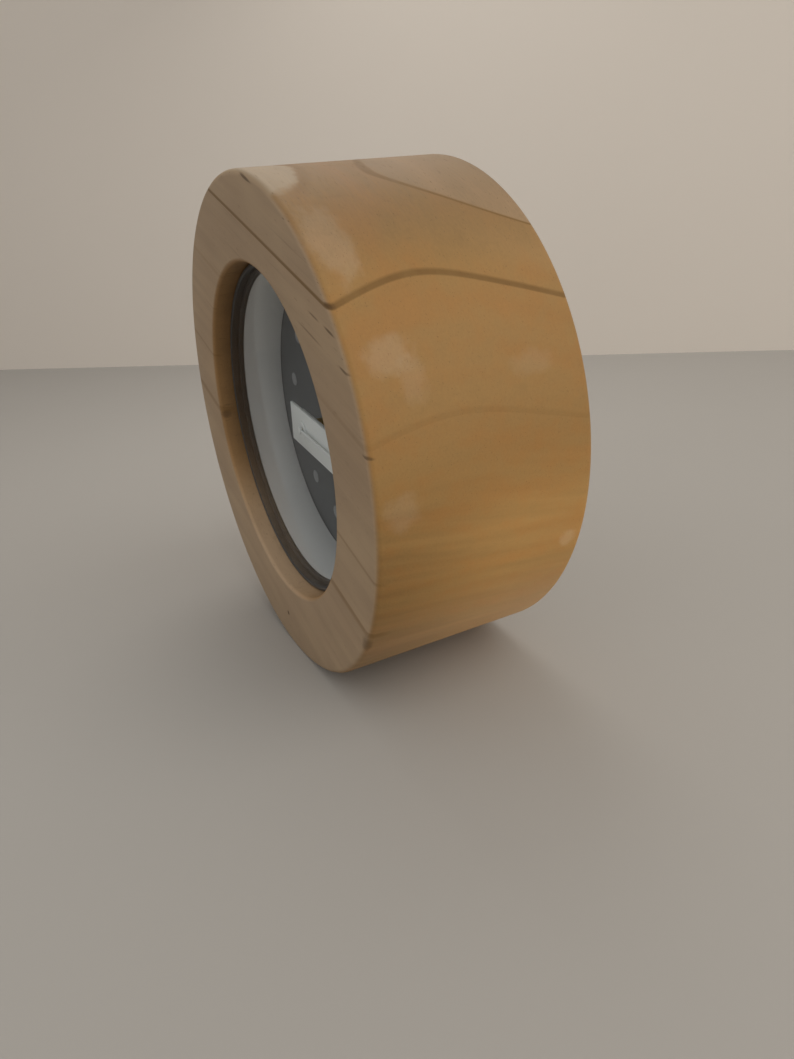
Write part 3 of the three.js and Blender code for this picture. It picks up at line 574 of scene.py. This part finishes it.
def lens_finish():
    finish, place, shader = new_finish("clear_acrylic")
    tree = finish.node_tree
    tree.nodes.remove(shader)
    smears = place.scaled(SMEARS).noise(detail=3.0, roughness=0.6)
    turned_away = place.node("ShaderNodeNewGeometry", output="Backfacing")
    shine = place.node("ShaderNodeFresnel", None, {"IOR": LENS_IOR}) * (1 - turned_away)
    clear = place.node("ShaderNodeBsdfTransparent", None, {"Color": LENS_TINT})
    dulled = LENS_ROUGHNESS + smears * SMEAR_ROUGHNESS
    gloss = place.node("ShaderNodeBsdfGlossy", None, {"Roughness": dulled})
    both = place.node("ShaderNodeMixShader", None, {0: shine, 1: clear, 2: gloss})
    tree.links.new(both.socket, tree.nodes["Material Output"].inputs["Surface"])
    return finish


lens = rod(INSERT_RADIUS, LENS_FRONT, LENS_BACK, INSERT_STEPS)
lens_rims = hoop(lens, INSERT_RADIUS, LENS_FRONT) + hoop(lens, INSERT_RADIUS, LENS_BACK)
ease(lens, lens_rims, LENS_EDGE, segments=2)
settle(lens, "clear_lens", lens_finish(), "clock_case", "clear_lens", "lens")


# Ring wall and dial: a light grey collar that holds the dial down and leans in a little towards it, and
# a dial stamped from sheet and sprayed dark grey, with twelve raised dots in a paler paint for the hours.
# The insert sits turned in its bore, so no dot stands straight up.
WALL_FRONT = 6.6 * MM
WALL_BACK = 15.4 * MM
WALL_FOOT = 31.4 * MM
WALL_EDGE = 0.12 * MM
DIAL_FRONT = 15.5 * MM
DIAL_BACK = 16.3 * MM
DIAL_HOLE = 2.05 * MM
DIAL_TURN = -15
HOURS = 12
DOT_CIRCLE = 23 * MM
DOT_RADIUS = 1.5 * MM
DOT_HEIGHT = 0.16 * MM
DOT_FRONT = DIAL_FRONT - DOT_HEIGHT
DOT_EDGE = 0.06 * MM
DOT_STEPS = 40
PAINT_SPECKS = 0.22  # millimetres across, as are its clouds and its orange peel
PAINT_CLOUDS = 8
PAINT_PEEL = 0.6
PEEL_HEIGHT = 0.008

ring_grey = moulded_finish("light_grey_plastic", tone=colour(208, 208, 207), worn=colour(220, 219, 217),
                           roughness=0.55)
wall = turned([(LEDGE_RADIUS, WALL_FRONT), (INSERT_RADIUS, WALL_FRONT), (INSERT_RADIUS, WALL_BACK),
               (WALL_FOOT, WALL_BACK)], INSERT_STEPS)
ease(wall, hoop(wall, LEDGE_RADIUS, WALL_FRONT) + hoop(wall, WALL_FOOT, WALL_BACK), WALL_EDGE, segments=2)
settle(wall, "ring_wall", ring_grey, "clock_case", "ring_grey", "dial_ring")


def sprayed_finish(name, tone, lighter, roughness):
    """Sprayed paint: tiny specks, soft cloudiness and orange peel."""
    finish, place, shader = new_finish(name)
    specks = place.scaled(PAINT_SPECKS).noise(detail=1.0)
    clouds = place.scaled(PAINT_CLOUDS).noise()
    peel = place.scaled(PAINT_PEEL).noise()
    share = 0.35 + specks.swing(0.5) + clouds.swing(0.8)
    feed(shader,
         Base_Color=share.most(0.0).mix(tone, lighter),
         Roughness=roughness + clouds.swing(0.15),
         Normal=relief(peel, PEEL_HEIGHT))
    return finish


dial = turned([(DIAL_HOLE, DIAL_FRONT), (INSERT_RADIUS, DIAL_FRONT), (INSERT_RADIUS, DIAL_BACK),
               (DIAL_HOLE, DIAL_BACK)], INSERT_STEPS)
dial_grey = sprayed_finish("dark_dial_paint", tone=colour(86, 87, 88), lighter=colour(97, 98, 99),
                           roughness=0.55)
settle(dial, "dial_disc", dial_grey, "clock_case", "dial_dark", "dial")
dots = bmesh.new()
for hour in range(HOURS):
    turn = math.radians(360 / HOURS * hour + DIAL_TURN)
    spot = (DOT_CIRCLE * math.sin(turn), DOT_CIRCLE * math.cos(turn))
    rod(DOT_RADIUS, DOT_FRONT, DIAL_FRONT, DOT_STEPS, spot, dots)
    ease(dots, hoop(dots, DOT_RADIUS, DOT_FRONT, spot), DOT_EDGE, segments=2)
dot_paint = sprayed_finish("pale_dot_paint", tone=colour(132, 133, 134), lighter=colour(146, 147, 147),
                           roughness=0.5)
settle(dots, "hour_dots", dot_paint, "clock_case", "hand_white")


# Hands: flat bars stamped from thin sheet, painted satin white and pushed on their pipes, each with a
# small turned boss over its pipe. They lie over one another, soon after quarter past three.
HAND_TURN = 3 * 360 / 11
HAND_EDGE = 0.1 * MM
HAND_BOSS_STEPS = 48
# Each hand in millimetres: width, length, tail, front, back, radius of its boss and rise of its boss
HOUR_HAND = (6.4, 18.5, 3.4, 9.0, 9.8, 2.4, 0.2)
MINUTE_HAND = (8.4, 27, 6.3, 8.0, 8.6, 1.8, 0.2)
SECOND_HAND = (0.6, 26, 1.0, 7.2, 7.6, 0.75, 0.16)


def hand(sizes):
    """A bar hand with a turned boss, pointing to the time shown."""
    width, length, tail, front, back, boss, boss_rise = (size * MM for size in sizes)
    shape = bmesh.new()
    seat = Matrix.Translation((0, (front + back) / 2, (length - tail) / 2))
    bmesh.ops.create_cube(shape, size=1, matrix=seat @ Matrix.Diagonal(
        (width, back - front, length + tail, 1)))
    ease(shape, shape.edges[:], HAND_EDGE, segments=2)
    boss_front = front - boss_rise
    rod(boss, boss_front, back, HAND_BOSS_STEPS, shape=shape)
    ease(shape, hoop(shape, boss, boss_front), HAND_EDGE)
    bmesh.ops.rotate(shape, verts=shape.verts, cent=(0, 0, 0),
                     matrix=Matrix.Rotation(math.radians(HAND_TURN), 3, "Y"))
    return shape


hand_white = sprayed_finish("satin_white_paint", tone=colour(220, 222, 221), lighter=colour(230, 231, 229),
                            roughness=0.38)
settle(hand(HOUR_HAND), "hour_bar", hand_white, "hour_set", "hand_white", "hour_hand")
settle(hand(MINUTE_HAND), "minute_bar", hand_white, "minute_set", "hand_white", "minute_hand")
settle(hand(SECOND_HAND), "second_bar", hand_white, "seconds_set", "hand_white", "second_hand")


# Back cover: a moulded disc that closes the insert, with a round opening and two notches for the battery
# hatch, a hole for the knob's shaft and three sunk seats for its screws. Its edges are softly moulded.
COVER_FRONT = 28.1 * MM
COVER_BACK = 29.7 * MM
MOULD_EDGE = 0.18 * MM
HATCH_MIDDLE = (0, -16.19 * MM)
HATCH_OPENING = 7.3 * MM
HATCH_STEPS = 96
NOTCH_REACH = 8.6 * MM
NOTCH_WIDTH = 3.0 * MM
NOTCH_TURN = math.radians(-45)
KNOB_MIDDLE = (-12 * MM, 0)
SHAFT_HOLE = 1.5 * MM
SCREW_MIDDLES = [(4.01 * MM, 14.97 * MM), (7.91 * MM, -7.91 * MM), (-9.68 * MM, -6.78 * MM)]
SCREW_SEAT_RADIUS = 2.0 * MM
SCREW_SEAT_DEPTH = 1.0 * MM
SCREW_STEPS = 48


def circle(shape, middle, radius, depth, steps=64, turn=0.0):
    """A round outline drawn on a flat piece, as its vertices."""
    seat = Matrix.Translation((middle[0], depth, middle[1])) @ Matrix.Rotation(math.pi / 2, 4, "X")
    return bmesh.ops.create_circle(shape, cap_ends=False, segments=steps, radius=radius,
                                   matrix=seat @ Matrix.Rotation(turn, 4, "Z"))["verts"]


def outline_of(verts):
    """The edges that join an outline's vertices."""
    return list(dict.fromkeys(edge for vert in verts for edge in vert.link_edges))


def drawn_in(shape, edges, depth):
    """Draws walls from an outline straight into a piece, and gives the outline at their foot."""
    made = bmesh.ops.extrude_edge_only(shape, edges=edges)["geom"]
    verts = [part for part in made if isinstance(part, bmesh.types.BMVert)]
    bmesh.ops.translate(shape, verts=verts, vec=(0, depth, 0))
    return [part for part in made
            if isinstance(part, bmesh.types.BMEdge) and all(vert in verts for vert in part.verts)]


def flat_piece(shape, outlines, thickness, pockets=(), sunk=0.0, edge=MOULD_EDGE):
    """Closes outlines drawn at the back into a flat piece with openings, blind pockets and soft edges."""
    through = [each for verts in outlines for each in outline_of(verts)]
    blind = [each for verts in pockets for each in outline_of(verts)]
    bmesh.ops.triangle_fill(shape, use_beauty=True, use_dissolve=False, edges=through + blind)
    if pockets:
        bmesh.ops.triangle_fill(shape, use_beauty=True, use_dissolve=False,
                                edges=drawn_in(shape, blind, -sunk))
    bmesh.ops.triangle_fill(shape, use_beauty=True, use_dissolve=False,
                            edges=drawn_in(shape, through, -thickness))
    bmesh.ops.recalc_face_normals(shape, faces=shape.faces)
    ease(shape, through + blind, edge)


cover = bmesh.new()
opening = circle(cover, HATCH_MIDDLE, HATCH_OPENING, COVER_BACK, HATCH_STEPS)
notch_along = Vector((math.cos(NOTCH_TURN), 0, math.sin(NOTCH_TURN)))
notch_across = Vector((-math.sin(NOTCH_TURN), 0, math.cos(NOTCH_TURN)))
hatch_seat = Vector((HATCH_MIDDLE[0], COVER_BACK, HATCH_MIDDLE[1]))
for vert in opening:
    away = vert.co - hatch_seat
    if abs(away.dot(notch_across)) < NOTCH_WIDTH / 2:
        reach = math.copysign(NOTCH_REACH, away.dot(notch_along))
        vert.co = hatch_seat + notch_along * reach + notch_across * away.dot(notch_across)
flat_piece(cover,
           [circle(cover, (0, 0), INSERT_RADIUS, COVER_BACK, INSERT_STEPS), opening,
            circle(cover, KNOB_MIDDLE, SHAFT_HOLE, COVER_BACK)],
           COVER_BACK - COVER_FRONT,
           [circle(cover, middle, SCREW_SEAT_RADIUS, COVER_BACK, SCREW_STEPS) for middle in SCREW_MIDDLES],
           SCREW_SEAT_DEPTH)
settle(cover, "insert_cover", black_plastic, "clock_case", "black_plastic", "back_cover")


# Setting knob: a fluted thumb knob moulded with its shaft, with a shallow dish in its end. A small pinion
# cut on the shaft drives the minute wheel.
KNOB_FRONT = 30.0 * MM
KNOB_BACK = 33.6 * MM
KNOB_RADIUS = 4.5 * MM
KNOB_EDGE = 0.3 * MM
KNOB_FLUTES = 18
FLUTE_STEPS = 8
FLUTE_DEPTH = 0.35 * MM
DISH_RADIUS = 2.7 * MM
DISH_DEPTH = 0.5 * MM
SHAFT_RADIUS = 1.2 * MM
SHAFT_FRONT = 16.7 * MM
SHAFT_STEPS = 32
PINION_TEETH = 10
TOOTH_STEPS = 4
TOOTH_EDGE = 0.03 * MM
PINION_TIP = 1.71 * MM
PINION_ROOT = 1.185 * MM
PINION_FRONT = 19.8 * MM
PINION_BACK = 20.6 * MM


def from_knob_axis(vert):
    return Vector((vert.co.x - KNOB_MIDDLE[0], 0, vert.co.z - KNOB_MIDDLE[1]))


knob = bmesh.new()
grip = circle(knob, KNOB_MIDDLE, KNOB_RADIUS, KNOB_BACK, FLUTE_STEPS * KNOB_FLUTES)
for vert in grip:
    away = from_knob_axis(vert)
    turn = math.atan2(away.z, away.x)
    vert.co -= away.normalized() * FLUTE_DEPTH * (0.5 - 0.5 * math.cos(turn * KNOB_FLUTES))
flat_piece(knob, [grip], KNOB_BACK - KNOB_FRONT,
           [circle(knob, KNOB_MIDDLE, DISH_RADIUS, KNOB_BACK)], DISH_DEPTH, KNOB_EDGE)
rod(SHAFT_RADIUS, SHAFT_FRONT, KNOB_FRONT, SHAFT_STEPS, KNOB_MIDDLE, knob)
teeth = circle(knob, KNOB_MIDDLE, PINION_TIP, PINION_BACK, TOOTH_STEPS * PINION_TEETH)
for count, vert in enumerate(teeth):
    if count % TOOTH_STEPS >= TOOTH_STEPS / 2:
        vert.co -= from_knob_axis(vert).normalized() * (PINION_TIP - PINION_ROOT)
flat_piece(knob, [teeth], PINION_BACK - PINION_FRONT, edge=TOOTH_EDGE)
settle(knob, "thumb_knob", black_plastic, "setting_set", "black_plastic", "setting_knob")


# Battery hatch: a round lid flush with the cover, with a slot for a coin. Two lugs turn under the cover
# to lock it, and a boss holds the cell down.
HATCH_FRONT = 27.2 * MM
HATCH_RADIUS = 7 * MM
SLOT_LENGTH = 9.1 * MM
SLOT_WIDTH = 1.6 * MM
SLOT_DEPTH = 0.7 * MM
SLOT_STEPS = 24
LUG_SPAN = 16.6 * MM
LUG_WIDTH = 2.4 * MM
LUG_THICKNESS = 0.7 * MM
LUG_EDGE = 0.1 * MM
BOSS_RADIUS = 4 * MM
BOSS_FRONT = 24.4 * MM
BOSS_STEPS = 64

hatch = bmesh.new()
slot_outline = circle(hatch, HATCH_MIDDLE, SLOT_WIDTH / 2, COVER_BACK, SLOT_STEPS, math.pi / SLOT_STEPS)
for vert in slot_outline:
    vert.co.x += math.copysign((SLOT_LENGTH - SLOT_WIDTH) / 2, vert.co.x - HATCH_MIDDLE[0])
flat_piece(hatch, [circle(hatch, HATCH_MIDDLE, HATCH_RADIUS, COVER_BACK, HATCH_STEPS)],
           COVER_BACK - HATCH_FRONT, [slot_outline], SLOT_DEPTH)
rod(BOSS_RADIUS, BOSS_FRONT, HATCH_FRONT, BOSS_STEPS, HATCH_MIDDLE, hatch)
lug_seat = Matrix.Translation((HATCH_MIDDLE[0], HATCH_FRONT + LUG_THICKNESS / 2, HATCH_MIDDLE[1]))
lugs = bmesh.ops.create_cube(hatch, size=1, matrix=lug_seat @ Matrix.Diagonal(
    (LUG_SPAN, LUG_THICKNESS, LUG_WIDTH, 1)))["verts"]
ease(hatch, outline_of(lugs), LUG_EDGE, segments=2)
settle(hatch, "coin_hatch", black_plastic, "hatch_set", "black_plastic", "battery_hatch")


# Screws: small bright steel screws with a cross recess and a blunt tip, headed from wire, sunk flush
# into the cover and driven into the pillars of the movement plate.
HEAD_RADIUS = 1.7 * MM
HEAD_FRONT = 28.8 * MM
HEAD_EDGE = 0.08 * MM
CROSS_HALF = 1.0 * MM
CROSS_ARM = 0.26 * MM
CROSS_DEPTH = 0.5 * MM
CROSS_STEPS = 12
SHANK_RADIUS = 0.85 * MM
SHANK_STEPS = 32
TIP_RADIUS = 0.51 * MM
SCREW_TIP = 24.3 * MM
DRAWN_MARKS = (0.25, 4, 0.25)  # in millimetres, as are the dull spots
DRAWN_HEIGHT = 0.004
DULL_SPOTS = 2.5
DULL_SHOW = (0.3, 0.75)


def metal_finish(name, tone, darker, roughness):
    """Bare metal: fine drawn marks, with dull spots."""
    finish, place, shader = new_finish(name)
    drawn = place.scaled(*DRAWN_MARKS).noise(detail=3.0, roughness=0.6)
    dull = place.scaled(DULL_SPOTS).noise(detail=3.0, roughness=0.6)
    feed(shader,
         Base_Color=dull.ramp(*DULL_SHOW).mix(tone, darker),
         Roughness=roughness + drawn.swing(0.2) + dull.swing(0.15),
         Normal=relief(drawn, DRAWN_HEIGHT),
         Metallic=1.0)
    return finish


steel = metal_finish("bright_steel", tone=colour(196, 197, 199), darker=colour(168, 168, 170),
                     roughness=0.32)
for count, middle in enumerate(SCREW_MIDDLES, 1):
    screw = bmesh.new()
    cross = circle(screw, middle, CROSS_HALF, COVER_BACK, CROSS_STEPS, math.pi / CROSS_STEPS)
    for vert in cross:
        x, z = vert.co.x - middle[0], vert.co.z - middle[1]
        wide, high = abs(x) > abs(z) * 2, abs(z) > abs(x) * 2
        vert.co.x = middle[0] + math.copysign(CROSS_HALF if wide else CROSS_ARM, x)
        vert.co.z = middle[1] + math.copysign(CROSS_HALF if high else CROSS_ARM, z)
    head = circle(screw, middle, HEAD_RADIUS, COVER_BACK, SCREW_STEPS)
    flat_piece(screw, [head], COVER_BACK - HEAD_FRONT, [cross], CROSS_DEPTH, HEAD_EDGE)
    turned([(0, SCREW_TIP), (TIP_RADIUS, SCREW_TIP), (SHANK_RADIUS, SCREW_TIP + SHANK_RADIUS),
            (SHANK_RADIUS, HEAD_FRONT), (0, HEAD_FRONT)],
           SHANK_STEPS, closed=False, middle=middle, shape=screw)
    settle(screw, f"cross_screw_{count}", steel, "clock_case", "steel", f"cover_screw_{count}")


# Movement: brass wheels and steel motor parts between two plates of natural plastic, with a copper coil,
# a small green board and the cell. All of it is closed in behind the dial.
brass = metal_finish("plain_brass", tone=colour(205, 172, 104), darker=colour(176, 142, 80),
                     roughness=0.34)
copper = metal_finish("enamelled_wire", tone=colour(176, 98, 58), darker=colour(148, 76, 42),
                      roughness=0.36)
natural_plastic = moulded_finish("natural_plastic", tone=colour(214, 210, 198), worn=colour(224, 221, 212),
                                 roughness=0.5)
board_green = moulded_finish("green_lacquer", tone=colour(44, 86, 58), worn=colour(60, 104, 72),
                             roughness=0.35)
inside = {
    "clutch_spring": steel, "rotor": steel, "stator": steel, "coil_core": steel, "quartz_crystal": steel,
    "battery_cell": steel, "cannon_pinion": brass, "hour_wheel": brass, "minute_wheel": brass,
    "centre_wheel": brass, "third_wheel": brass, "seconds_wheel": brass, "battery_contact_minus": brass,
    "battery_contact_plus": brass, "coil_winding": copper, "movement_plate": natural_plastic,
    "train_bridge": natural_plastic, "intermediate_wheel": natural_plastic, "circuit_board": board_green,
    "driver_chip": black_plastic,
}
for name, finish in inside.items():
    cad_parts[name].data.materials[0] = finish


# Table, backdrop and lamps: a pale painted table top against a pale wall, in even room light, with a small
# soft lamp above and behind on the left and a broad, stronger one from the right. Lengths are in metres.
TABLE_TONE = colour(164, 160, 154)
TABLE_HALF = 3
WALL_TONE = colour(210, 201, 190)
WALL_FOOT_LEFT = Vector((-0.503, -0.061, 0))
WALL_FOOT_RIGHT = Vector((-0.130, 0.308, 0))
WALL_REACH = 1.5
WALL_HEIGHT = 1.2
SHEET_CLOUDS = 160  # millimetres across
SHEET_LIGHTER = 1.06
SHEET_ROUGHNESS = 0.7
LAMP_AIM = Vector((0, 0, 0.05))
ROOM_TINT = (1.0, 0.99, 0.98, 1)
ROOM_STRENGTH = 0.62


def stage_sheet(name, tone, corners):
    """A flat painted sheet around the clock, not part of it."""
    finish, place, shader = new_finish(name + "_paint")
    clouds = place.scaled(SHEET_CLOUDS).noise()
    lighter = [min(1, share * SHEET_LIGHTER) for share in tone[:3]] + [1]
    feed(shader, Base_Color=clouds.mix(tone, lighter), Roughness=SHEET_ROUGHNESS)
    shape = bmesh.new()
    shape.faces.new([shape.verts.new(corner) for corner in corners])
    mesh = bpy.data.meshes.new(name)
    shape.to_mesh(mesh)
    shape.free()
    mesh.materials.append(finish)
    sheet = bpy.data.objects.new(name, mesh)
    bpy.context.scene.collection.objects.link(sheet)


def lamp(name, place, size, power, tint):
    """A soft round lamp that faces the clock."""
    lamp_data = bpy.data.lights.new(name, "AREA")
    lamp_data.shape = "DISK"
    lamp_data.size = size
    lamp_data.energy = power
    lamp_data.color = tint
    source = bpy.data.objects.new(name, lamp_data)
    source.location = place
    source.rotation_euler = (LAMP_AIM - Vector(place)).to_track_quat("-Z", "Y").to_euler()
    bpy.context.scene.collection.objects.link(source)


run = (WALL_FOOT_RIGHT - WALL_FOOT_LEFT).normalized()
wall_top = Vector((0, 0, WALL_HEIGHT))
start = WALL_FOOT_LEFT - run * WALL_REACH
end = WALL_FOOT_RIGHT + run * WALL_REACH
stage_sheet("backdrop", WALL_TONE, (start, end, end + wall_top, start + wall_top))
corner_signs = ((-1, -1), (1, -1), (1, 1), (-1, 1))
stage_sheet("table", TABLE_TONE, [(x * TABLE_HALF, y * TABLE_HALF, 0) for x, y in corner_signs])
lamp("rear_lamp", place=(-0.185, 0.065, 0.33), size=0.25, power=0.28, tint=(1.0, 0.98, 0.95))
lamp("side_lamp", place=(0.60, 0.25, 0.50), size=1.1, power=3.5, tint=(1.0, 0.96, 0.90))
sky = bpy.data.worlds.new("room")
sky.use_nodes = True
room_light = sky.node_tree.nodes["Background"]
room_light.inputs["Color"].default_value = ROOM_TINT
room_light.inputs["Strength"].default_value = ROOM_STRENGTH
bpy.context.scene.world = sky
